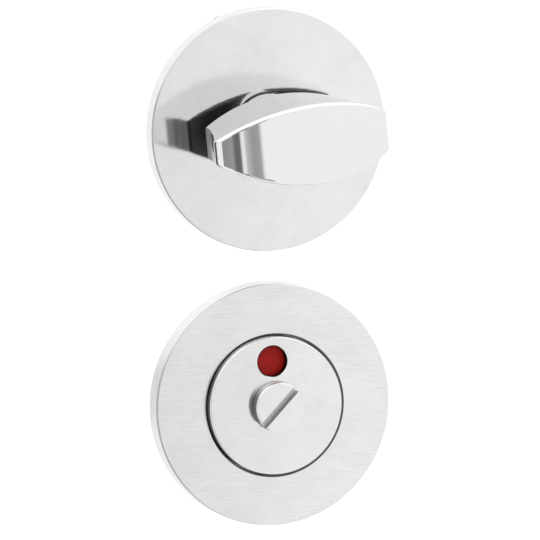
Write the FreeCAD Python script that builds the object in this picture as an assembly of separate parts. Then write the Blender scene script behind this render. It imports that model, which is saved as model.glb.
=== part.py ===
import FreeCAD, Part
import math
import os
from FreeCAD import Vector

# Bathroom thumb turn lock, laid out as a set: the thumb turn half above and its emergency release half
# below, each seen from its own side of the door. Millimetres. The door's face is the plane y = 0 and
# both fronts look along -Y. A depth is measured from the door's face towards the room, so a point at
# depth d has y = -d, and a negative depth lies inside the door. The origin is the centre of the turn
# half's bolt circle. Each half is drawn about its own axis, with what turns at its locked stop, and
# what turns is then set a few degrees off that stop, as the lock is stored.

# Roses
ROSE_RADIUS = 26.0
TURN_ROSE_DEPTH = 4.4
RELEASE_ROSE_DEPTH = 5.2
COVER_WALL = 1.2
COVER_RIM_WALL = 1.0
COVER_EDGE_ROUND = 0.35
HALVES_SPACING = 58.8

# Base plates
PLATE_RADIUS = 24.6
PLATE_DEPTH = 2.4
BOSS_RADIUS = 10.0
BOSS_LENGTH = 5.0
RELIEF_INNER = 10.6
RELIEF_OUTER = 12.9
RELIEF_CUT = 0.9
NIB_DEPTH = 1.2
NIB_HALF_HEIGHT = 0.4
NIB_REACH = 0.55
NIB_WIDTH = 5.0
NIB_COUNT = 3
GROOVE_HALF_HEIGHT = 0.35
GROOVE_CUT = 0.3

# Fixing through the door: bolts from the turn half, threaded posts on the release half
BOLT_CIRCLE = 38.0
BOLT_ANGLES = (90, 270)
BOLT_HOLE_RADIUS = 2.05
BOLT_NECK_RADIUS = 1.75
BOLT_THREAD_RADIUS = 1.95
BOLT_LENGTH = 29.0
BOLT_CROSS_REACH = 1.9
BOLT_CROSS_WIDTH = 0.8
BOLT_CROSS_DEPTH = 1.3
BOLT_HEAD_RADIUS = 3.8
SEAT_GAP = 0.05
POST_RADIUS = 3.5
POST_HEAD_RADIUS = 4.6
POST_HEAD_DEPTH = 0.8
POST_LENGTH = 11.0
THREAD_CORE_RADIUS = 1.65

# Quarter turn between locked and open, and how far off its locked stop the lock is stored
TRAVEL = 90.0
STORED_ANGLE = 5.0

# Thumb turn
NECK_RADIUS = 8.0
NECK_HOLE_GAP = 0.3
ARM_BACK_MIDDLE = 4.4
ARM_BACK_END = 6.2
ARM_BACK_HALF_LENGTH = 16.1
ARM_FRONT_MIDDLE = 29.0
ARM_END_MIDDLE = 14.8
ARM_END_HALF_LENGTH = 17.2
ARM_FRONT_END = 22.8
ARM_FRONT_HALF_LENGTH = 19.7
LENS_OFFSET_X = 1.5
LENS_BACK_HALF_HEIGHT = 8.05
LENS_BACK_ARC = 32.5
LENS_BACK_REACH = 18.0
LENS_FRONT_HALF_HEIGHT = 8.55
LENS_FRONT_ARC = 42.0
LENS_FRONT_REACH = 23.0
END_ROUND_FRONT = 2.3
END_ROUND_BACK = 1.0
EDGE_ROUND = 0.85
JOURNAL_RADIUS = 6.0
JOURNAL_END = -11.5
JOURNAL_CHAMFER = 0.5
SHOULDER_DEPTH = 3.0

# Square spindle
SPINDLE_SIDE = 5.0
SPINDLE_FRONT = -1.2
SPINDLE_END = -58.0
SPINDLE_CHAMFER = 0.5
SOCKET_SIDE = 5.1
GRUB_RADIUS = 1.5
GRUB_DEPTH = -9.3
GRUB_OUTER = 5.8
GRUB_KEY = 1.5
GRUB_KEY_DEPTH = 1.6

# Bearings and what holds the shafts in
RUNNING_GAP = 0.05
BUSH_FLANGE_DEPTH = 2.9
TURN_BUSH_RADIUS = 8.0
TURN_BUSH_FLANGE = 9.6
RELEASE_BUSH_RADIUS = 6.5
RELEASE_BUSH_FLANGE = 8.0
CLIP_DEPTH = -6.05
CLIP_THICKNESS = 1.0
CLIP_BAND = 2.2
CLIP_BITE = 0.55
CLIP_GAP_DEG = 50.0
CLIP_LUG_RADIUS = 1.3
CLIP_LUG_HOLE = 0.6
GROOVE_AXIAL_GAP = 0.05
WASHER_THICKNESS = 0.3
WASHER_BOW = 0.4
WASHER_BAND = 2.3
WASHER_GAP = 0.3

# Indicator housing of the release half
HOUSING_RADIUS = 14.75
HOUSING_HOLE_GAP = 0.35
HOUSING_FRONT = 7.2
HOUSING_INSIDE = 5.0
HOUSING_INNER_RADIUS = 13.3
HOUSING_TILT = 3.9
HOUSING_EDGE_ROUND = 0.35
WINDOW_RADIUS = 3.25
WINDOW_OFFSET = 9.57
WINDOW_CHAMFER = 0.25
EAR_TOP = 3.6
EAR_REACH = 21.0
EAR_HALF_WIDTH = 4.2
EAR_SCREW_RADIUS = 17.6
STOP_PEG_RADIUS = 1.0
STOP_PEG_END = 3.3
STOP_CIRCLE = 10.0
STOP_ANGLE = 270.0

# Coin release and indicator wheel
COIN_RADIUS = 5.3
COIN_FRONT = 10.0
COIN_EDGE_ROUND = 0.35
COIN_SLOT_WIDTH = 1.5
COIN_SLOT_DEPTH = 2.0
COIN_SLOT_ANGLE = 51.0
COIN_SHANK_RADIUS = 4.5
COIN_SHANK_END = -8.0
COIN_SOCKET_FRONT = 3.0
WHEEL_FRONT = 4.7
WHEEL_BACK = 3.1
WHEEL_RADIUS = 13.0
WHEEL_FLAT = 4.5
SEGMENT_INNER = 6.2
SEGMENT_OUTER = 12.7
SEGMENT_SPAN = 70.0
SEGMENT_POCKET = 0.3
SEGMENT_PROUD = 0.1
STOP_SLOT_GAP = 0.2

# Small screws that hold the indicator housing
HOUSING_SCREW_RADIUS = 1.25
HOUSING_SCREW_HEAD = 2.4
HOUSING_SCREW_SLOT = 0.6
HOUSING_SCREW_END = 0.2

RED_CENTRE = 90 + HOUSING_TILT
GREEN_CENTRE = RED_CENTRE + TRAVEL
TURN_CENTRE = Vector(0, 0, 0)
RELEASE_CENTRE = Vector(0, 0, -HALVES_SPACING)
TO_ROOM = Vector(0, -1, 0)
AXIS_POINT = Vector(0, 0, 0)


def polar(radius, angle_deg):
    """Point on a circle in the door's plane, counted counter-clockwise from +X as seen from the room."""
    angle = math.radians(angle_deg)
    return Vector(radius * math.cos(angle), 0, radius * math.sin(angle))


def rod(radius, depth_a, depth_b, place=AXIS_POINT):
    """Round bar along the depth axis between two depths."""
    front = max(depth_a, depth_b)
    start = Vector(place.x, -front, place.z)
    return Part.makeCylinder(radius, abs(depth_a - depth_b), start, Vector(0, 1, 0))


def block(half_width, half_height, depth_a, depth_b, place=AXIS_POINT):
    """Rectangular bar along the depth axis, centred on a place in the door's plane."""
    front = max(depth_a, depth_b)
    corner = Vector(place.x - half_width, -front, place.z - half_height)
    return Part.makeBox(2 * half_width, abs(depth_a - depth_b), 2 * half_height, corner)


def turned(profile):
    """Solid of revolution about the depth axis from (radius, depth) points."""
    corners = [Vector(radius, -depth, 0) for radius, depth in profile]
    wire = Part.makePolygon(corners + corners[:1])
    return Part.Face(wire).revolve(Vector(0, 0, 0), Vector(0, 1, 0), 360)


def spun(shape, angle_deg):
    """Copy turned counter-clockwise, as seen from the room, about the half's own axis."""
    copy = shape.copy()
    copy.rotate(AXIS_POINT, TO_ROOM, angle_deg)
    return copy


def moved(shape, centre):
    copy = shape.copy()
    copy.translate(centre)
    return copy


def rim_edges(shape, radius, depth):
    """Circular edges of one radius at one depth, for rounding."""
    found = []
    for edge in shape.Edges:
        curve = edge.Curve
        if isinstance(curve, Part.Circle) and abs(curve.Radius - radius) < 1e-4:
            if abs(curve.Center.y + depth) < 1e-4:
                found.append(edge)
    return found


def sector(inner, outer, start_deg, span_deg, depth_a, depth_b):
    """Part of a ring between two angles."""
    steps = [start_deg, start_deg + span_deg / 2, start_deg + span_deg]
    far = [polar(outer, angle) for angle in steps]
    near = [polar(inner, angle) for angle in steps]
    edges = [
        Part.Arc(far[0], far[1], far[2]).toShape(),
        Part.makeLine(far[2], near[2]),
        Part.Arc(near[2], near[1], near[0]).toShape(),
        Part.makeLine(near[0], far[0]),
    ]
    front = max(depth_a, depth_b)
    face = Part.Face(Part.Wire(edges))
    face.translate(Vector(0, -front, 0))
    return face.extrude(Vector(0, abs(depth_a - depth_b), 0))


def cover_rose(depth, hole_radius):
    """Pressed stainless cap: a flat disc with a turned-back rim, grooved inside to clip over the nibs."""
    cap = rod(ROSE_RADIUS, 0, depth)
    cap = cap.makeFillet(COVER_EDGE_ROUND, rim_edges(cap, ROSE_RADIUS, depth))
    inner_radius = ROSE_RADIUS - COVER_RIM_WALL
    cap = cap.cut(rod(inner_radius, -1, depth - COVER_WALL))
    groove_back = NIB_DEPTH - GROOVE_HALF_HEIGHT
    groove_front = NIB_DEPTH + GROOVE_HALF_HEIGHT
    cap = cap.cut(rod(inner_radius + GROOVE_CUT, groove_back, groove_front))
    return cap.cut(rod(hole_radius, 0, depth + 1))


def base_plate(bore_radius):
    """Plate behind a cover, with a boss that locates in the door's spindle hole and nibs on its rim."""
    plate = turned([
        (bore_radius, PLATE_DEPTH),
        (RELIEF_INNER, PLATE_DEPTH),
        (RELIEF_INNER, PLATE_DEPTH - RELIEF_CUT),
        (RELIEF_OUTER, PLATE_DEPTH - RELIEF_CUT),
        (RELIEF_OUTER, PLATE_DEPTH),
        (PLATE_RADIUS, PLATE_DEPTH),
        (PLATE_RADIUS, 0),
        (BOSS_RADIUS, 0),
        (BOSS_RADIUS, -BOSS_LENGTH),
        (bore_radius, -BOSS_LENGTH),
    ])
    nib_root = PLATE_RADIUS - NIB_HALF_HEIGHT
    nib_ring = turned([
        (nib_root, NIB_DEPTH - NIB_HALF_HEIGHT),
        (PLATE_RADIUS + NIB_REACH, NIB_DEPTH),
        (nib_root, NIB_DEPTH + NIB_HALF_HEIGHT),
    ])
    for index in range(NIB_COUNT):
        slice_box = block(NIB_WIDTH / 2, NIB_WIDTH, 0, PLATE_DEPTH, Vector(0, 0, PLATE_RADIUS))
        plate = plate.fuse(nib_ring.common(spun(slice_box, index * 360 / NIB_COUNT)))
    return plate.removeSplitter()


def bolt_places():
    return [polar(BOLT_CIRCLE / 2, angle) for angle in BOLT_ANGLES]


def cone(radius_front, depth_front, radius_back, depth_back, place):
    """Countersink or screw head, narrowing into the door."""
    start = Vector(place.x, -depth_front, place.z)
    return Part.makeCone(radius_front, radius_back, depth_front - depth_back, start, Vector(0, 1, 0))


def turn_base_plate():
    """Countersunk at a right angle for the bolts' heads."""
    plate = base_plate(TURN_BUSH_RADIUS)
    sink_radius = BOLT_HEAD_RADIUS + SEAT_GAP
    sink_back = PLATE_DEPTH - (sink_radius - BOLT_HOLE_RADIUS)
    for place in bolt_places():
        plate = plate.cut(rod(BOLT_HOLE_RADIUS, -1, sink_back, place))
        plate = plate.cut(cone(sink_radius, PLATE_DEPTH, BOLT_HOLE_RADIUS, sink_back, place))
    return plate


def cross_recess(place):
    front = PLATE_DEPTH + 1
    back = PLATE_DEPTH - BOLT_CROSS_DEPTH
    slot = block(BOLT_CROSS_REACH, BOLT_CROSS_WIDTH / 2, front, back, place)
    return slot.fuse(block(BOLT_CROSS_WIDTH / 2, BOLT_CROSS_REACH, front, back, place))


def turn_through_bolts():
    """Two countersunk bolts that run through the door into the posts of the release half.

    Behind the head is a slimmer plain neck, and the thread starts at the door.
    """
    bolts = []
    head_back = PLATE_DEPTH - (BOLT_HEAD_RADIUS - BOLT_NECK_RADIUS)
    for place in bolt_places():
        bolt = cone(BOLT_HEAD_RADIUS, PLATE_DEPTH, BOLT_NECK_RADIUS, head_back, place)
        bolt = bolt.fuse(rod(BOLT_NECK_RADIUS, head_back, 0, place))
        bolt = bolt.fuse(rod(BOLT_THREAD_RADIUS, 0, -BOLT_LENGTH, place))
        bolts.append(bolt.removeSplitter().cut(cross_recess(place)))
    return Part.makeCompound(bolts)


def release_bolt_posts():
    """Two riveted posts with a threaded bore, reached by the bolts through the door."""
    posts = []
    for place in bolt_places():
        post = rod(POST_HEAD_RADIUS, PLATE_DEPTH - POST_HEAD_DEPTH, PLATE_DEPTH, place)
        post = post.fuse(rod(POST_RADIUS, -POST_LENGTH, PLATE_DEPTH - POST_HEAD_DEPTH, place))
        posts.append(post.removeSplitter().cut(rod(THREAD_CORE_RADIUS, -POST_LENGTH, PLATE_DEPTH, place)))
    return Part.makeCompound(posts)


def bush(shaft_radius, outer_radius, flange_radius):
    bore = shaft_radius + RUNNING_GAP
    return turned([
        (bore, BUSH_FLANGE_DEPTH),
        (flange_radius, BUSH_FLANGE_DEPTH),
        (flange_radius, PLATE_DEPTH),
        (outer_radius, PLATE_DEPTH),
        (outer_radius, -BOSS_LENGTH),
        (bore, -BOSS_LENGTH),
    ])


def spring_washer(shaft_radius):
    """Thin ring bowed about the Z axis, sprung between the bearing and the circlip it rests on."""
    inner = shaft_radius + WASHER_GAP
    outer = inner + WASHER_BAND
    crown = -CLIP_DEPTH
    bend = (outer ** 2 + WASHER_BOW ** 2) / (2 * WASHER_BOW)
    base = Vector(0, crown - bend, -outer)
    up = Vector(0, 0, 1)
    shell = Part.makeCylinder(bend, 2 * outer, base, up)
    shell = shell.cut(Part.makeCylinder(bend - WASHER_THICKNESS, 2 * outer, base, up))
    ring = rod(outer, CLIP_DEPTH, -BOSS_LENGTH).cut(rod(inner, CLIP_DEPTH, -BOSS_LENGTH))
    return ring.common(shell)


def circlip(shaft_radius):
    """External retaining ring with a gap and two plier lugs."""
    inner = shaft_radius - CLIP_BITE
    outer = inner + CLIP_BAND
    back = CLIP_DEPTH - CLIP_THICKNESS
    clip = sector(inner, outer, 90 + CLIP_GAP_DEG / 2, 360 - CLIP_GAP_DEG, CLIP_DEPTH, back)
    lug_circle = outer - CLIP_LUG_RADIUS / 2
    for side in (-1, 1):
        place = polar(lug_circle, 90 + side * (CLIP_GAP_DEG / 2 + 4))
        clip = clip.fuse(rod(CLIP_LUG_RADIUS, CLIP_DEPTH, back, place))
        clip = clip.cut(rod(CLIP_LUG_HOLE, CLIP_DEPTH, back, place))
    return clip.cut(rod(inner, CLIP_DEPTH, back)).removeSplitter()


def clip_groove(shaft_radius):
    front = CLIP_DEPTH + GROOVE_AXIAL_GAP
    back = CLIP_DEPTH - CLIP_THICKNESS - GROOVE_AXIAL_GAP
    ring = rod(shaft_radius + 1, front, back)
    return ring.cut(rod(shaft_radius - CLIP_BITE - RUNNING_GAP, front, back))


def lens_outline(half_height, arc_radius, reach, depth):
    """Pointed-oval outline of the thumb turn as seen from the room, cut off past the grip's ends."""
    end_height = half_height - arc_radius + math.sqrt(arc_radius ** 2 - reach ** 2)
    y = -depth

    def corner(side, sign):
        return Vector(LENS_OFFSET_X + side * reach, y, sign * end_height)

    top = Part.Arc(corner(-1, 1), Vector(LENS_OFFSET_X, y, half_height), corner(1, 1)).toShape()
    bottom = Part.Arc(corner(1, -1), Vector(LENS_OFFSET_X, y, -half_height), corner(-1, -1)).toShape()
    right = Part.makeLine(corner(1, 1), corner(1, -1))
    left = Part.makeLine(corner(-1, -1), corner(-1, 1))
    return Part.Wire([top, right, bottom, left])


def grip_plan():
    """The grip as seen from above: rounded behind, crowned in front, its ends hollow and flaring."""
    face = TURN_ROSE_DEPTH
    back_y = -(face + ARM_BACK_END)
    front_y = -(face + ARM_FRONT_END)
    back_left = Vector(-ARM_BACK_HALF_LENGTH, back_y, 0)
    back_right = Vector(ARM_BACK_HALF_LENGTH, back_y, 0)
    front_left = Vector(-ARM_FRONT_HALF_LENGTH, front_y, 0)
    front_right = Vector(ARM_FRONT_HALF_LENGTH, front_y, 0)
    middle_left = Vector(-ARM_END_HALF_LENGTH, -(face + ARM_END_MIDDLE), 0)
    middle_right = Vector(ARM_END_HALF_LENGTH, -(face + ARM_END_MIDDLE), 0)
    edges = [
        Part.Arc(back_left, Vector(0, -(face + ARM_BACK_MIDDLE), 0), back_right).toShape(),
        Part.Arc(back_right, middle_right, front_right).toShape(),
        Part.Arc(front_right, Vector(0, -(face + ARM_FRONT_MIDDLE), 0), front_left).toShape(),
        Part.Arc(front_left, middle_left, back_left).toShape(),
    ]
    height = 2 * LENS_FRONT_HALF_HEIGHT + 4
    plan = Part.Face(Part.Wire(edges)).extrude(Vector(0, 0, height))
    plan.translate(Vector(0, 0, -height / 2))
    plan = plan.makeFillet(END_ROUND_FRONT, upright_edges(plan, ARM_FRONT_HALF_LENGTH))
    return plan.makeFillet(END_ROUND_BACK, upright_edges(plan, ARM_BACK_HALF_LENGTH))


def upright_edges(shape, half_length):
    found = []
    for edge in shape.Edges:
        ends = [vertex.Point for vertex in edge.Vertexes]
        if len(ends) == 2 and all(abs(abs(end.x) - half_length) < 1e-4 for end in ends):
            if abs(ends[0].x - ends[1].x) < 1e-6 and abs(ends[0].z - ends[1].z) > 1:
                found.append(edge)
    return found


def grip():
    """Cast grip: the pointed oval drawn out from the rose, trimmed by its plan, every edge softened."""
    near = lens_outline(LENS_BACK_HALF_HEIGHT, LENS_BACK_ARC, LENS_BACK_REACH, TURN_ROSE_DEPTH)
    far_depth = TURN_ROSE_DEPTH + ARM_FRONT_MIDDLE + 1
    far = lens_outline(LENS_FRONT_HALF_HEIGHT, LENS_FRONT_ARC, LENS_FRONT_REACH, far_depth)
    body = Part.makeLoft([near, far], True, True).common(grip_plan())
    soft = []
    for edge in body.Edges:
        ends = [vertex.Point for vertex in edge.Vertexes]
        if all(-end.y > TURN_ROSE_DEPTH + ARM_BACK_END + END_ROUND_BACK / 2 for end in ends):
            if all(abs(end.z) > 0.5 for end in ends) and ends[0].z * ends[-1].z > 0:
                soft.append(edge)
    return body.makeFillet(EDGE_ROUND, soft)


def thumb_turn():
    """Grip, neck and journal in one piece, with a square socket for the spindle in its back end."""
    body = grip().fuse(rod(NECK_RADIUS, SHOULDER_DEPTH, TURN_ROSE_DEPTH + ARM_BACK_MIDDLE + 1))
    journal = turned([
        (0, SHOULDER_DEPTH),
        (JOURNAL_RADIUS, SHOULDER_DEPTH),
        (JOURNAL_RADIUS, JOURNAL_END + JOURNAL_CHAMFER),
        (JOURNAL_RADIUS - JOURNAL_CHAMFER, JOURNAL_END),
        (0, JOURNAL_END),
    ])
    body = body.fuse(journal).cut(clip_groove(JOURNAL_RADIUS))
    body = body.cut(block(SOCKET_SIDE / 2, SOCKET_SIDE / 2, SPINDLE_FRONT + 0.1, JOURNAL_END))
    return body.cut(grub_bar(GRUB_RADIUS, SOCKET_SIDE / 2, JOURNAL_RADIUS + 1)).removeSplitter()


def grub_bar(radius, low, high):
    return Part.makeCylinder(radius, high - low, Vector(0, -GRUB_DEPTH, low), Vector(0, 0, 1))


def hexagon_bar(across_flats, low, high, depth):
    corner_radius = across_flats / math.sqrt(3)
    corners = []
    for index in range(6):
        angle = math.radians(60 * index)
        across = corner_radius * math.cos(angle)
        along = corner_radius * math.sin(angle)
        corners.append(Vector(across, along - depth, low))
    face = Part.Face(Part.makePolygon(corners + corners[:1]))
    return face.extrude(Vector(0, 0, high - low))


def spindle_grub_screw():
    screw = grub_bar(GRUB_RADIUS - RUNNING_GAP, SPINDLE_SIDE / 2, GRUB_OUTER)
    return screw.cut(hexagon_bar(GRUB_KEY, GRUB_OUTER - GRUB_KEY_DEPTH, GRUB_OUTER + 1, GRUB_DEPTH))


def turn_spindle():
    bar = block(SPINDLE_SIDE / 2, SPINDLE_SIDE / 2, SPINDLE_FRONT, SPINDLE_END)
    tip = [edge for edge in bar.Edges if all(abs(v.Point.y + SPINDLE_END) < 1e-6 for v in edge.Vertexes)]
    return bar.makeChamfer(SPINDLE_CHAMFER, tip)


def release_base_plate():
    plate = base_plate(RELEASE_BUSH_RADIUS)
    for place in bolt_places():
        plate = plate.cut(rod(POST_RADIUS, -1, PLATE_DEPTH, place))
        plate = plate.cut(rod(POST_HEAD_RADIUS, PLATE_DEPTH - POST_HEAD_DEPTH, PLATE_DEPTH, place))
    for place in ear_places():
        plate = plate.cut(rod(HOUSING_SCREW_RADIUS, -1, PLATE_DEPTH + 1, place))
    return plate


def ear_places():
    return [polar(EAR_SCREW_RADIUS, angle + HOUSING_TILT) for angle in (0, 180)]


def housing_screws():
    """Two small countersunk screws through the housing's ears."""
    screws = []
    head_height = HOUSING_SCREW_HEAD - HOUSING_SCREW_RADIUS
    for place in ear_places():
        screw = cone(HOUSING_SCREW_HEAD, EAR_TOP, HOUSING_SCREW_RADIUS, EAR_TOP - head_height, place)
        screw = screw.fuse(rod(HOUSING_SCREW_RADIUS, EAR_TOP - head_height, HOUSING_SCREW_END, place))
        slot_back = EAR_TOP - HOUSING_SCREW_SLOT
        slot = block(HOUSING_SCREW_HEAD, HOUSING_SCREW_SLOT / 2, EAR_TOP + 1, slot_back, place)
        screws.append(screw.removeSplitter().cut(slot))
    return Part.makeCompound(screws)


def indicator_housing():
    """Proud centre disc of the release half: a shallow cup with a window, a stop peg and two fixing ears."""
    cup = turned([
        (COIN_RADIUS + RUNNING_GAP, HOUSING_FRONT),
        (HOUSING_RADIUS, HOUSING_FRONT),
        (HOUSING_RADIUS, PLATE_DEPTH),
        (HOUSING_INNER_RADIUS, PLATE_DEPTH),
        (HOUSING_INNER_RADIUS, HOUSING_INSIDE),
        (COIN_RADIUS + RUNNING_GAP, HOUSING_INSIDE),
    ])
    cup = cup.makeFillet(HOUSING_EDGE_ROUND, rim_edges(cup, HOUSING_RADIUS, HOUSING_FRONT))
    ears = block(EAR_REACH, EAR_HALF_WIDTH, PLATE_DEPTH, EAR_TOP)
    ears = ears.common(rod(EAR_REACH, PLATE_DEPTH, EAR_TOP))
    cup = cup.fuse(ears.cut(rod(HOUSING_INNER_RADIUS, PLATE_DEPTH, EAR_TOP)))
    window = polar(WINDOW_OFFSET, 90)
    cup = cup.cut(rod(WINDOW_RADIUS, HOUSING_INSIDE - 1, HOUSING_FRONT + 1, window))
    chamfer_back = HOUSING_FRONT - WINDOW_CHAMFER
    cup = cup.cut(cone(WINDOW_RADIUS + WINDOW_CHAMFER, HOUSING_FRONT, WINDOW_RADIUS, chamfer_back, window))
    cup = spun(cup.removeSplitter(), HOUSING_TILT)
    head_height = HOUSING_SCREW_HEAD - HOUSING_SCREW_RADIUS
    for place in ear_places():
        cup = cup.cut(rod(HOUSING_SCREW_RADIUS + SEAT_GAP, 0, EAR_TOP, place))
        seat = HOUSING_SCREW_HEAD + SEAT_GAP
        cup = cup.cut(cone(seat, EAR_TOP, seat - head_height, EAR_TOP - head_height, place))
    return cup.fuse(rod(STOP_PEG_RADIUS, STOP_PEG_END, HOUSING_INSIDE, polar(STOP_CIRCLE, STOP_ANGLE)))


def coin_release():
    """Slotted boss and shank in one piece; two flats drive the wheel, a square socket takes the spindle."""
    body = rod(COIN_RADIUS, WHEEL_BACK, COIN_FRONT)
    body = body.makeFillet(COIN_EDGE_ROUND, rim_edges(body, COIN_RADIUS, COIN_FRONT))
    for side in (-1, 1):
        beside = Vector(0, 0, side * (WHEEL_FLAT + COIN_RADIUS))
        flat = block(COIN_RADIUS, COIN_RADIUS, WHEEL_BACK, WHEEL_FRONT, beside)
        body = body.cut(flat)
    slot = block(COIN_RADIUS + 1, COIN_SLOT_WIDTH / 2, COIN_FRONT - COIN_SLOT_DEPTH, COIN_FRONT + 1)
    body = body.cut(spun(slot, COIN_SLOT_ANGLE))
    body = body.fuse(rod(COIN_SHANK_RADIUS, COIN_SHANK_END, WHEEL_BACK)).cut(clip_groove(COIN_SHANK_RADIUS))
    socket = block(SOCKET_SIDE / 2, SOCKET_SIDE / 2, COIN_SHANK_END, COIN_SOCKET_FRONT)
    return body.cut(socket).removeSplitter()


def indicator_segment(centre_deg):
    """Coloured plate let into the wheel; red stands behind the window when locked, green when open."""
    front = WHEEL_FRONT + SEGMENT_PROUD
    back = WHEEL_FRONT - SEGMENT_POCKET
    return sector(SEGMENT_INNER, SEGMENT_OUTER, centre_deg - SEGMENT_SPAN / 2, SEGMENT_SPAN, front, back)


def indicator_wheel():
    """Disc behind the window, with pockets for the two colours and a quarter-turn slot for the stop peg."""
    wheel = rod(WHEEL_RADIUS, WHEEL_BACK, WHEEL_FRONT)
    bore = rod(COIN_RADIUS + RUNNING_GAP, WHEEL_BACK, WHEEL_FRONT)
    flats = block(COIN_RADIUS + 1, WHEEL_FLAT + RUNNING_GAP, WHEEL_BACK, WHEEL_FRONT)
    wheel = wheel.cut(bore.common(flats))
    for centre in (RED_CENTRE, GREEN_CENTRE):
        wheel = wheel.cut(indicator_segment(centre))
    half_width = STOP_PEG_RADIUS + STOP_SLOT_GAP
    inner = STOP_CIRCLE - half_width
    slot = sector(inner, STOP_CIRCLE + half_width, STOP_ANGLE, TRAVEL, WHEEL_BACK, WHEEL_FRONT)
    for angle in (STOP_ANGLE, STOP_ANGLE + TRAVEL):
        slot = slot.fuse(rod(half_width, WHEEL_BACK, WHEEL_FRONT, polar(STOP_CIRCLE, angle)))
    return wheel.cut(slot.removeSplitter())


def turn_fixed_pieces():
    return {
        "turn_cover_rose": cover_rose(TURN_ROSE_DEPTH, NECK_RADIUS + NECK_HOLE_GAP),
        "turn_base_plate": turn_base_plate(),
        "turn_through_bolts": turn_through_bolts(),
        "turn_bearing_bush": bush(JOURNAL_RADIUS, TURN_BUSH_RADIUS, TURN_BUSH_FLANGE),
    }


def turn_moving_pieces():
    return {
        "thumb_turn": thumb_turn(),
        "turn_spindle": turn_spindle(),
        "spindle_grub_screw": spindle_grub_screw(),
        "turn_spring_washer": spring_washer(JOURNAL_RADIUS),
        "turn_circlip": circlip(JOURNAL_RADIUS),
    }


def release_fixed_pieces():
    return {
        "release_cover_rose": cover_rose(RELEASE_ROSE_DEPTH, HOUSING_RADIUS + HOUSING_HOLE_GAP),
        "release_base_plate": release_base_plate(),
        "release_bolt_posts": release_bolt_posts(),
        "release_bearing_bush": bush(COIN_SHANK_RADIUS, RELEASE_BUSH_RADIUS, RELEASE_BUSH_FLANGE),
        "indicator_housing": indicator_housing(),
        "housing_screws": housing_screws(),
    }


def release_moving_pieces():
    return {
        "coin_release": coin_release(),
        "indicator_wheel": indicator_wheel(),
        "red_indicator_segment": indicator_segment(RED_CENTRE),
        "green_indicator_segment": indicator_segment(GREEN_CENTRE),
        "release_spring_washer": spring_washer(COIN_SHANK_RADIUS),
        "release_circlip": circlip(COIN_SHANK_RADIUS),
    }


os.makedirs("parts", exist_ok=True)
groups = [
    (turn_fixed_pieces(), TURN_CENTRE, 0),
    (turn_moving_pieces(), TURN_CENTRE, STORED_ANGLE),
    (release_fixed_pieces(), RELEASE_CENTRE, 0),
    (release_moving_pieces(), RELEASE_CENTRE, -STORED_ANGLE),
]
for pieces, centre, angle in groups:
    for name, shape in pieces.items():
        moved(spun(shape, angle), centre).exportStep("parts/" + name + ".step")
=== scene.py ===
import math

import bpy
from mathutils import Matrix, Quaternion, Vector


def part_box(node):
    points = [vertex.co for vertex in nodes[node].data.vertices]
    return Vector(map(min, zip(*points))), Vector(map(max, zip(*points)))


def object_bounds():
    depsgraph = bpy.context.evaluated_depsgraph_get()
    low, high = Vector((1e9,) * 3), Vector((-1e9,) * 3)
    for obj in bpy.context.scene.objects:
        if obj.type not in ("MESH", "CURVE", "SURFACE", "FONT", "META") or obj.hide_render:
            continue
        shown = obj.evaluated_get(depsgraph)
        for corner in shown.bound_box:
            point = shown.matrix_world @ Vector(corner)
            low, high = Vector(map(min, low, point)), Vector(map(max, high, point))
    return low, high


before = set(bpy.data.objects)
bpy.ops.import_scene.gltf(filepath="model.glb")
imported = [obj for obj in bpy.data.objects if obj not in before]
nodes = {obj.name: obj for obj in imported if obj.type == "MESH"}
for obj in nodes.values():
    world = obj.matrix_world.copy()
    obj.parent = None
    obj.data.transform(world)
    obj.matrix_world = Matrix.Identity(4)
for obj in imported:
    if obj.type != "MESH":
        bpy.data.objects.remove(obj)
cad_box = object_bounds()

# The photograph's frame and the view of it: pixels, metres and degrees
IMAGE_SIZE = 540
SENSOR_MM = 36.0
PIXELS_PER_METRE = 4710.0
VIEW_LEFT_DEG = 18.0
VIEW_ABOVE_DEG = 7.5
VIEW_ROLL_DEG = 0.68
VIEW_DISTANCE = 3.0
NEAR_CLIP = 0.01
TURN_ROSE_PIXEL = (268.9, 129.9)

# The studio by direction from the object, in degrees. The stripes give brightness by degrees left of
# straight ahead, and their fade gives how much of them shows by degrees upwards. The low dark gives
# darkness instead.
STUDIO_STRIPES = (
    (16.5, 1.0), (17.5, 0.42), (23, 0.35), (28, 0.55), (29, 0.95), (31, 0.9),
    (32, 0.17), (36, 0.15), (38, 0.36), (44, 0.30), (46, 1.0),
    (112, 1.0), (118, 0.10), (154, 0.10), (159, 1.0),
)
STRIPES_FADE = ((-70, 0.0), (-40, 1.0), (8, 1.0), (20, 0.0))
LOW_DARK = ((12, 0.0), (15, 0.75), (16, 0.75), (20, 0.0))
LOW_DARK_FADE = ((-50, 0.0), (-35, 1.0), (-15, 1.0), (-11, 0.0))
OVERHEAD_DEG = (12.0, 40.0)
OVERHEAD_LIGHT = 1.3

# White floor, in metres
FLOOR_DROP = 0.04
FLOOR_SIZE = 12.0
FLOOR_GREY = 0.9
FLOOR_ROUGHNESS = 0.9
FLOOR_GLOW = 0.3

# Where the grip is darker, as painted shade, and rougher: its sides, back and ends. Here and below, a GREY
# or a LEVEL is a share of full brightness, a FACING is a range of one part of the surface's normal, and an
# X, a Y and RADII are ranges in metres.
GRIP_SIDE_SHADE_GREY = 0.84
GRIP_SIDE_FACING = (0.72, 0.86)
GRIP_BACK_SHADE_GREY = 0.12
GRIP_BACK_FACING = (0.38, 0.55)
GRIP_END_SHADE_GREY = 0.24
GRIP_END_X = (0.0115, 0.0135)
GRIP_END_FADE_Y = (-0.0220, -0.0135)
GRIP_END_FACING_OUT = (0.25, 0.45)
GRIP_END_FACING_UP = (0.5, 0.7)
DULL_ROUGHNESS = 0.45
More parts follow.
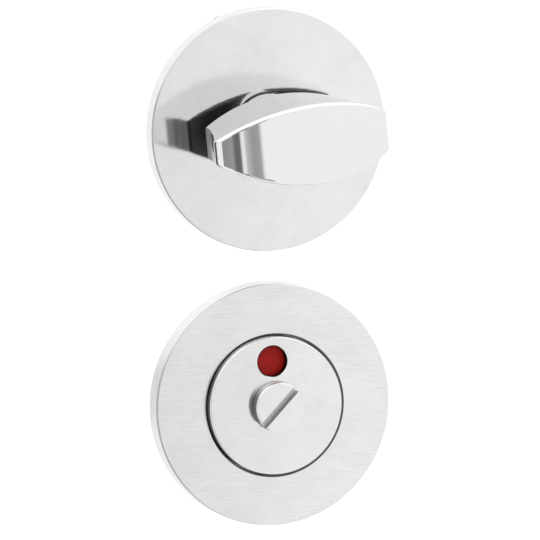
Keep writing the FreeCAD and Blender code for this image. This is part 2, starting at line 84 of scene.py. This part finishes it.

# Painted shade makes the faces of the roses, disc and boss slightly greyer towards the left, and a painted
# highlight makes their rims brightest
LEFT_SHADE_X = (-0.026, 0.020)
LEFT_SHADE_LEVELS = (0.925, 1.035)
FACE_FACING = (0.8, 0.95)
RIM_HIGHLIGHT_LEVEL = 1.06

# The painted shade line on the left of a rose's rounded edge, which lies between its wall and its face
EDGE_SHADE_LOSS = 0.38
EDGE_FROM_FACING = (0.25, 0.5)
EDGE_TO_FACING = (0.85, 0.97)
EDGE_LEFT_FACING = (-0.3, 0.0)

# The release half: painted shade on the turned walls, the slot's floor and the inside of the window, and a
# painted shadow line beside the disc
WALL_SHADE_GREY = 0.28
WALL_FACING = (0.15, 0.45)
WALL_FACING_UP = (0.35, 0.95)
WALL_ROUGHNESS = 0.35
# Painted shade: the slot's floor is darker
SLOT_FLOOR_Y = (-0.0083, -0.0081)
SLOT_FLOOR_SHADE_GREY = 0.85
# Painted shade: black inside the window
WINDOW_CENTRE = (-0.00065, -0.04925)
WINDOW_RADII = (0.00330, 0.00340)
WINDOW_SHADE_GREY = 0.03
# Painted shadow: a dark line on the rose beside the disc's right side
GAP_SHADOW_CENTRE = (0.00035, -0.05895)
GAP_SHADOW_RADII = (0.01535, 0.01555)
GAP_SHADOW_GREY = 0.12

# Noises: scale, detail, roughness and distortion. NOISE_MIDDLE is the range that most of a noise lies in.
SMEARS = (80.0, 6.0, 0.72, 0.4)
FINGER_MARKS = (140.0, 5.0, 0.7, 1.2)
BRUSHING_LINES = (260.0, 5.0, 0.65, 0.0)
PLATING_MOTTLE = (420.0, 5.0, 0.6, 0.0)
PLATING_GRAIN = (2600.0, 3.0, 0.6, 0.0)
ENAMEL_MOTTLE = (900.0, 4.0, 0.6, 0.0)
NYLON_CLOUDS = (300.0, 4.0, 0.6, 0.0)
NYLON_GRAIN = (3500.0, 2.0, 0.5, 0.0)
NOISE_MIDDLE = (0.3, 0.7)
BRUSHING_STRETCH = (1.0, 1.0, 14.0)

# How each finish varies: the darkest share of its colour, the noise over which that share turns into the
# full colour, the shares of its roughness, and the strength of its bump
SMEAR_BLUE = (0.985, 0.992)
POLISH_ROUGHNESS = (0.7, 1.4)
PLATING_DARK = 0.86
PLATING_PLACES = (0.32, 0.68)
PLATING_ROUGHNESS = (0.8, 1.25)
PLATING_BUMP = 0.25
ENAMEL_DARK = 0.82
ENAMEL_PLACES = (0.35, 0.65)
ENAMEL_ROUGHNESS = (0.85, 1.2)
ENAMEL_BUMP = 0.15
ENAMEL_SPECULAR = 0.15
NYLON_DARK = 0.93
NYLON_PLACES = (0.35, 0.65)
NYLON_ROUGHNESS = (0.42, 0.55)
NYLON_BUMP = 0.2
FINE_HEIGHT = 0.00002
BRIGHT_ZINC = (0.72, 0.73, 0.74)

# Thread of the bolts, in metres
BOLT_CENTRE_Z = 0.019
THREAD_PITCH = 0.0007
THREAD_START_Y = (0.0002, 0.0006)
THREAD_GAIN = 2.0
# Painted shade: the share of the colour in the thread's grooves and under the head
THREAD_SHADE_SHARE = 0.5
THREAD_PLACES = (0.0, 0.5)
THREAD_HEIGHT = 0.0004


def linked(tree, from_socket, to_socket):
    tree.links.new(from_socket, to_socket)


def math_node(tree, operation, first, second=None):
    node = tree.nodes.new("ShaderNodeMath")
    node.operation = operation
    for socket, value in zip(node.inputs, (first, second)):
        if value is None:
            continue
        if isinstance(value, (int, float)):
            socket.default_value = value
        else:
            linked(tree, value, socket)
    return node.outputs[0]


def product(tree, first, *others):
    for other in others:
        first = math_node(tree, "MULTIPLY", first, other)
    return first


def one_minus(tree, value):
    return math_node(tree, "SUBTRACT", 1.0, value)


def size_of(tree, value):
    """A value without its sign."""
    return math_node(tree, "ABSOLUTE", value)


def map_range(tree, value, places, levels, interpolation):
    node = tree.nodes.new("ShaderNodeMapRange")
    node.interpolation_type = interpolation
    node.inputs["From Min"].default_value = places[0]
    node.inputs["From Max"].default_value = places[1]
    node.inputs["To Min"].default_value = levels[0]
    node.inputs["To Max"].default_value = levels[1]
    linked(tree, value, node.inputs["Value"])
    return node.outputs["Result"]


def between(tree, value, places, before, after):
    """Smooth step from one level to another as a value passes through a range."""
    return map_range(tree, value, places, (before, after), "SMOOTHSTEP")


def spread(tree, value, levels):
    """Maps the middle of a noise onto a range of levels."""
    return map_range(tree, value, NOISE_MIDDLE, levels, "LINEAR")


def ramp(tree, factor, stops):
    """Colour ramp from (position, grey or colour) stops."""
    node = tree.nodes.new("ShaderNodeValToRGB")
    elements = node.color_ramp.elements
    while len(elements) < len(stops):
        elements.new(0.5)
    for element, (position, colour) in zip(elements, stops):
        element.position = position
        if isinstance(colour, (int, float)):
            colour = (colour, colour, colour)
        element.color = (*colour, 1.0)
    linked(tree, factor, node.inputs[0])
    return node.outputs[0]


def mottled(tree, value, places, colour, dark_share):
    """A colour that is darker where a value is low."""
    dark = tuple(channel * dark_share for channel in colour)
    return ramp(tree, value, [(places[0], dark), (places[1], colour)])


def noise(tree, vector, pattern, seed=0.0):
    """Noise of one of the patterns, with a seed that makes each material's its own."""
    scale, detail, roughness, distortion = pattern
    node = tree.nodes.new("ShaderNodeTexNoise")
    node.inputs["Scale"].default_value = scale + seed
    node.inputs["Detail"].default_value = detail
    node.inputs["Roughness"].default_value = roughness
    node.inputs["Distortion"].default_value = distortion
    linked(tree, vector, node.inputs["Vector"])
    return node.outputs[0]


def bump(tree, height, strength, distance):
    node = tree.nodes.new("ShaderNodeBump")
    node.inputs["Strength"].default_value = strength
    node.inputs["Distance"].default_value = distance
    linked(tree, height, node.inputs["Height"])
    return node.outputs[0]


def object_place(tree, stretch=(1.0, 1.0, 1.0)):
    """Place on the object, for a noise to follow."""
    place = tree.nodes.new("ShaderNodeTexCoord")
    mapping = tree.nodes.new("ShaderNodeMapping")
    mapping.inputs["Scale"].default_value = stretch
    linked(tree, place.outputs["Object"], mapping.inputs["Vector"])
    return mapping.outputs[0]


def axes(tree, output):
    """The x, y and z of one output of the texture coordinates, such as Object or Normal."""
    source = tree.nodes.new("ShaderNodeTexCoord")
    parts = tree.nodes.new("ShaderNodeSeparateXYZ")
    linked(tree, source.outputs[output], parts.inputs[0])
    return parts.outputs


def distance_from(tree, centre):
    """How far a place is from an axis through the rose, given as its x and z."""
    place = axes(tree, "Object")
    across = math_node(tree, "SUBTRACT", place["X"], centre[0])
    upwards = math_node(tree, "SUBTRACT", place["Z"], centre[1])
    squares = math_node(tree, "ADD", product(tree, across, across), product(tree, upwards, upwards))
    return math_node(tree, "SQRT", squares)


def shaded(name, metallic=0.0):
    material = bpy.data.materials.new(name)
    material.use_nodes = True
    tree = material.node_tree
    shader = tree.nodes["Principled BSDF"]
    shader.inputs["Metallic"].default_value = metallic
    return material, tree, shader


def surface(tree, shader, colour, roughness, normal):
    linked(tree, colour, shader.inputs["Base Color"])
    linked(tree, roughness, shader.inputs["Roughness"])
    linked(tree, normal, shader.inputs["Normal"])


def painted_shade_and_rim_highlight(tree):
    """Painted shade, slightly greyer towards the left on the faces, and a painted highlight, brightest on
    the rims.
    """
    across = between(tree, axes(tree, "Object")["X"], LEFT_SHADE_X, *LEFT_SHADE_LEVELS)
    is_face = between(tree, size_of(tree, axes(tree, "Normal")["Y"]), FACE_FACING, 0.0, 1.0)
    loss = product(tree, is_face, math_node(tree, "SUBTRACT", RIM_HIGHLIGHT_LEVEL, across))
    return math_node(tree, "SUBTRACT", RIM_HIGHLIGHT_LEVEL, loss)


def painted_edge_shade(tree):
    """Painted shade: the rounded edge of a rose is darker on its left."""
    normal = axes(tree, "Normal")
    facing = size_of(tree, normal["Y"])
    past_wall = between(tree, facing, EDGE_FROM_FACING, 0.0, 1.0)
    before_face = between(tree, facing, EDGE_TO_FACING, 1.0, 0.0)
    left = between(tree, normal["X"], EDGE_LEFT_FACING, EDGE_SHADE_LOSS, 0.0)
    return one_minus(tree, product(tree, past_wall, before_face, left))


def turned_walls_with_painted_shade(tree):
    """Turned walls are darker, as painted shade, and rougher than the faces; the painted shade is lighter
    where they face up.
    """
    normal = axes(tree, "Normal")
    is_wall = between(tree, size_of(tree, normal["Y"]), WALL_FACING, 1.0, 0.0)
    loss = between(tree, normal["Z"], WALL_FACING_UP, 1 - WALL_SHADE_GREY, 0.0)
    level = one_minus(tree, product(tree, is_wall, loss))
    return product(tree, level, painted_shade_and_rim_highlight(tree)), product(tree, is_wall, WALL_ROUGHNESS)


# Each polishing function gives a share of full brightness, which paints shade and highlight, and a roughness
# to add, both by place on the object


def grip_polish_and_painted_shade(tree):
    """Fully polished in front; painted shade and more roughness on the sides, more towards the back of the
    ends, and most behind.
    """
    normal = axes(tree, "Normal")
    place = axes(tree, "Object")
    upright = size_of(tree, normal["Z"])
    side = between(tree, upright, GRIP_SIDE_FACING, 1.0, GRIP_SIDE_SHADE_GREY)
    back = between(tree, normal["Y"], GRIP_BACK_FACING, 1.0, GRIP_BACK_SHADE_GREY)
    far_out = between(tree, size_of(tree, place["X"]), GRIP_END_X, 0.0, 1.0)
    sideways = between(tree, size_of(tree, normal["X"]), GRIP_END_FACING_OUT, 0.0, 1.0)
    flank = between(tree, upright, GRIP_END_FACING_UP, 1.0, 0.0)
    fade = between(tree, place["Y"], GRIP_END_FADE_Y, 0.0, 1.0)
    end = one_minus(tree, product(tree, far_out, sideways, flank, fade, 1 - GRIP_END_SHADE_GREY))
    level = product(tree, side, back, end)
    missing = one_minus(tree, level)
    return level, product(tree, missing, missing, DULL_ROUGHNESS)


def turn_rose_painted_light(tree):
    """Painted light only: bright face and rim, with the painted shade line on the left of the edge."""
    return product(tree, painted_shade_and_rim_highlight(tree), painted_edge_shade(tree)), 0.0


def release_rose_polish_and_painted_light(tree):
    """As the other rose, with a painted shadow: a dark line on the right of the disc that comes through it.
    """
    level = between(tree, distance_from(tree, GAP_SHADOW_CENTRE), GAP_SHADOW_RADII, GAP_SHADOW_GREY, 1.0)
    dullness = product(tree, one_minus(tree, level), WALL_ROUGHNESS)
    return product(tree, level, painted_shade_and_rim_highlight(tree), painted_edge_shade(tree)), dullness


def disc_polish_and_painted_shade(tree):
    """Polished front, turned wall, and painted shade, black, inside the window."""
    level, dullness = turned_walls_with_painted_shade(tree)
    window = between(tree, distance_from(tree, WINDOW_CENTRE), WINDOW_RADII, WINDOW_SHADE_GREY, 1.0)
    return product(tree, level, window), dullness


def coin_polish_and_painted_shade(tree):
    """Polished front, turned wall, and a milled floor in the slot, darker as painted shade."""
    level, dullness = turned_walls_with_painted_shade(tree)
    is_floor = between(tree, axes(tree, "Object")["Y"], SLOT_FLOOR_Y, 0.0, 1.0)
    floor = one_minus(tree, product(tree, is_floor, 1 - SLOT_FLOOR_SHADE_GREY))
    milled = math_node(tree, "MAXIMUM", dullness, product(tree, is_floor, WALL_ROUGHNESS))
    return product(tree, level, floor), milled


def polished_steel(name, grey, rough, smear, brushing, seed, polishing_and_painted_light):
    """Polished stainless steel: cloudy smears over a near mirror, with level brushing lines, and the painted
    shade and highlight of its polishing function.
    """
    material, tree, shader = shaded(name, metallic=1.0)
    place = object_place(tree)
    clouds = noise(tree, place, SMEARS, seed)
    lines = noise(tree, object_place(tree, BRUSHING_STRETCH), BRUSHING_LINES, seed)
    fingers = noise(tree, place, FINGER_MARKS, seed)
    marks = math_node(tree, "ADD", product(tree, clouds, 1 - brushing), product(tree, lines, brushing))
    greys = (grey * (1 - smear), grey * (1 + smear))
    colours = [(level, level, level * blue) for level, blue in zip(greys, SMEAR_BLUE)]
    tint = ramp(tree, marks, list(zip(NOISE_MIDDLE, colours)))
    half_each = math_node(tree, "ADD", product(tree, lines, 0.5), product(tree, fingers, 0.5))
    roughness = spread(tree, half_each, [rough * share for share in POLISH_ROUGHNESS])
    # Painted shade and highlight as a share of brightness, and the roughness to add
    level, dullness = polishing_and_painted_light(tree)
    shade = tree.nodes.new("ShaderNodeVectorMath")
    shade.operation = "SCALE"
    linked(tree, tint, shade.inputs[0])
    linked(tree, level, shade.inputs["Scale"])
    duller = math_node(tree, "ADD", roughness, dullness)
    surface(tree, shader, shade.outputs[0], duller, bump(tree, lines, brushing, FINE_HEIGHT))
    return material


def plated_steel(name, colour, rough, seed):
    """Zinc-plated or spring steel with mottled plating."""
    material, tree, shader = shaded(name, metallic=1.0)
    place = object_place(tree)
    mottle = noise(tree, place, PLATING_MOTTLE, seed)
    tint = mottled(tree, mottle, PLATING_PLACES, colour, PLATING_DARK)
    grain = noise(tree, place, PLATING_GRAIN)
    roughness = spread(tree, grain, [rough * share for share in PLATING_ROUGHNESS])
    surface(tree, shader, tint, roughness, bump(tree, grain, PLATING_BUMP, FINE_HEIGHT))
    return material


def threaded_steel(name, colour, rough):
    """Zinc-plated bolts: bare metal under the head and a rolled thread past the plate; painted shade darkens
    the part under the head and the thread's grooves.
    """
    material, tree, shader = shaded(name, metallic=1.0)
    place = axes(tree, "Object")
    centre = product(tree, math_node(tree, "SIGN", place["Z"]), BOLT_CENTRE_Z)
    across = math_node(tree, "SUBTRACT", place["Z"], centre)
    turns = math_node(tree, "DIVIDE", math_node(tree, "ARCTAN2", across, place["X"]), 2 * math.pi)
    phase = math_node(tree, "ADD", math_node(tree, "DIVIDE", place["Y"], THREAD_PITCH), turns)
    past_plate = between(tree, place["Y"], THREAD_START_Y, 0.0, THREAD_GAIN)
    ridge = product(tree, math_node(tree, "PINGPONG", phase, 0.5), past_plate)
    tint = mottled(tree, ridge, THREAD_PLACES, colour, THREAD_SHADE_SHARE)
    grain = noise(tree, object_place(tree), PLATING_GRAIN)
    roughness = spread(tree, grain, [rough * share for share in PLATING_ROUGHNESS])
    surface(tree, shader, tint, roughness, bump(tree, ridge, 1.0, THREAD_HEIGHT))
    return material


def enamel(name, colour, rough):
    """Satin enamel with slight unevenness."""
    material, tree, shader = shaded(name)
    shader.inputs["Specular IOR Level"].default_value = ENAMEL_SPECULAR
    mottle = noise(tree, object_place(tree), ENAMEL_MOTTLE)
    tint = mottled(tree, mottle, ENAMEL_PLACES, colour, ENAMEL_DARK)
    roughness = spread(tree, mottle, [rough * share for share in ENAMEL_ROUGHNESS])
    surface(tree, shader, tint, roughness, bump(tree, mottle, ENAMEL_BUMP, FINE_HEIGHT))
    return material


def moulded_nylon(name, colour):
    """Nylon with faint clouds and a fine grain."""
    material, tree, shader = shaded(name)
    place = object_place(tree)
    clouds = noise(tree, place, NYLON_CLOUDS)
    tint = mottled(tree, clouds, NYLON_PLACES, colour, NYLON_DARK)
    grain = noise(tree, place, NYLON_GRAIN)
    surface(tree, shader, tint, spread(tree, clouds, NYLON_ROUGHNESS),
            bump(tree, grain, NYLON_BUMP, FINE_HEIGHT))
    return material


def dress(material, *names):
    """Gives pieces their material."""
    for name in names:
        mesh = nodes[name].data
        mesh.materials.clear()
        mesh.materials.append(material)


def look_along(left_deg, up_deg):
    """Unit vector from the object towards a direction left of straight ahead and upwards."""
    left = math.radians(left_deg)
    up = math.radians(up_deg)
    return Vector((-math.sin(left) * math.cos(up), -math.cos(left) * math.cos(up), math.sin(up)))


def set_camera():
    """Long lens from the photograph's side, aimed so that the thumb turn's rose lands on its pixel."""
    data = bpy.data.cameras.new("camera")
    data.sensor_width = SENSOR_MM
    data.lens = PIXELS_PER_METRE * VIEW_DISTANCE * SENSOR_MM / IMAGE_SIZE
    data.clip_start = NEAR_CLIP
    camera = bpy.data.objects.new("camera", data)
    bpy.context.scene.collection.objects.link(camera)
    towards = look_along(VIEW_LEFT_DEG, VIEW_ABOVE_DEG)
    turn = (-towards).to_track_quat("-Z", "Y") @ Quaternion((0, 0, 1), -math.radians(VIEW_ROLL_DEG))
    low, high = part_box("turn_cover_rose")
    rose_face = Vector(((low.x + high.x) / 2, low.y, (low.z + high.z) / 2))
    off_right = (TURN_ROSE_PIXEL[0] - IMAGE_SIZE / 2) / PIXELS_PER_METRE
    off_up = (IMAGE_SIZE / 2 - TURN_ROSE_PIXEL[1]) / PIXELS_PER_METRE
    aim = rose_face - turn @ Vector((off_right, off_up, 0))
    camera.rotation_mode = "QUATERNION"
    camera.rotation_quaternion = turn
    camera.location = aim + towards * VIEW_DISTANCE
    bpy.context.scene.camera = camera


def by_angle(tree, angle, stops):
    """Level by an angle of -180 to 180 degrees."""
    factor = math_node(tree, "DIVIDE", math_node(tree, "ADD", angle, 180.0), 360.0)
    return ramp(tree, factor, [((degrees + 180) / 360, level) for degrees, level in stops])


def set_world():
    """White room; what shines also sees the studio's dark stripes, its low dark and its overhead light."""
    world = bpy.data.worlds.new("studio")
    bpy.context.scene.world = world
    world.use_nodes = True
    tree = world.node_tree
    background = tree.nodes["Background"]
    direction = axes(tree, "Generated")
    to_left = product(tree, direction["X"], -1.0)
    ahead = product(tree, direction["Y"], -1.0)
    left_deg = product(tree, math_node(tree, "ARCTAN2", to_left, ahead), 180 / math.pi)
    up_deg = product(tree, math_node(tree, "ARCSINE", direction["Z"]), 180 / math.pi)
    stripes = one_minus(tree, by_angle(tree, left_deg, STUDIO_STRIPES))
    beside = product(tree, stripes, by_angle(tree, up_deg, STRIPES_FADE))
    below = product(tree, by_angle(tree, left_deg, LOW_DARK), by_angle(tree, up_deg, LOW_DARK_FADE))
    darkness = math_node(tree, "MAXIMUM", beside, below)
    overhead = between(tree, up_deg, OVERHEAD_DEG, 1.0, OVERHEAD_LIGHT)
    studio = product(tree, one_minus(tree, darkness), overhead)
    path = tree.nodes.new("ShaderNodeLightPath")
    seen = tree.nodes.new("ShaderNodeMix")
    linked(tree, path.outputs["Is Glossy Ray"], seen.inputs["Factor"])
    seen.inputs["A"].default_value = 1.0
    linked(tree, studio, seen.inputs["B"])
    linked(tree, seen.outputs["Result"], background.inputs["Color"])
    background.inputs["Strength"].default_value = 1.0


def lay_floor():
    """Plain white floor below the lock, white to the camera apart from a soft shadow."""
    half = FLOOR_SIZE / 2
    z = cad_box[0][2] - FLOOR_DROP
    corners = [(-half, -half, z), (half, -half, z), (half, half, z), (-half, half, z)]
    mesh = bpy.data.meshes.new("floor")
    mesh.from_pydata(corners, [], [(0, 1, 2, 3)])
    floor = bpy.data.objects.new("floor", mesh)
    bpy.context.scene.collection.objects.link(floor)
    material, tree, shader = shaded("floor_white")
    shader.inputs["Base Color"].default_value = (FLOOR_GREY, FLOOR_GREY, FLOOR_GREY, 1)
    shader.inputs["Roughness"].default_value = FLOOR_ROUGHNESS
    shader.inputs["Emission Color"].default_value = (1, 1, 1, 1)
    path = tree.nodes.new("ShaderNodeLightPath")
    glow = product(tree, path.outputs["Is Camera Ray"], FLOOR_GLOW)
    linked(tree, glow, shader.inputs["Emission Strength"])
    mesh.materials.append(material)
    floor.visible_glossy = False


# Polished steel: grey, roughness, strength of the smears and of the brushing, seed, and the function that
# gives polishing and painted light
dress(polished_steel("rose_steel", 0.80, 0.09, 0.075, 0.20, 0.0, turn_rose_painted_light), "turn_cover_rose")
dress(polished_steel("satin_rose_steel", 0.79, 0.20, 0.10, 0.50, 3.0, release_rose_polish_and_painted_light),
      "release_cover_rose")
dress(polished_steel("turn_steel", 0.84, 0.035, 0.015, 0.02, 5.0, grip_polish_and_painted_shade), "thumb_turn")
dress(polished_steel("disc_steel", 0.79, 0.14, 0.09, 0.45, 7.0, disc_polish_and_painted_shade), "indicator_housing")
dress(polished_steel("coin_steel", 0.81, 0.10, 0.06, 0.30, 11.0, coin_polish_and_painted_shade), "coin_release")

# Other steel: colour, roughness and, but for the threads, seed
dress(plated_steel("plate_zinc", (0.66, 0.66, 0.64), 0.34, 0.0), "turn_base_plate", "release_base_plate")
dress(plated_steel("fixing_zinc", BRIGHT_ZINC, 0.26, 40.0),
      "release_bolt_posts", "housing_screws", "turn_spindle")
dress(threaded_steel("bolt_zinc", BRIGHT_ZINC, 0.26), "turn_through_bolts")
dress(plated_steel("spring_steel", (0.34, 0.35, 0.37), 0.30, 80.0),
      "turn_spring_washer", "release_spring_washer", "turn_circlip", "release_circlip")
dress(plated_steel("black_steel", (0.06, 0.06, 0.065), 0.4, 20.0), "spindle_grub_screw")
dress(plated_steel("wheel_steel", (0.42, 0.42, 0.43), 0.35, 60.0), "indicator_wheel")

# Nylon, and enamel with its roughness
dress(moulded_nylon("nylon", (0.82, 0.81, 0.77)), "turn_bearing_bush", "release_bearing_bush")
dress(enamel("red_enamel", (0.50, 0.012, 0.010), 0.35), "red_indicator_segment")
dress(enamel("green_enamel", (0.02, 0.20, 0.05), 0.35), "green_indicator_segment")

set_camera()
set_world()
lay_floor()

scene = bpy.context.scene
scene.view_settings.view_transform = "Standard"
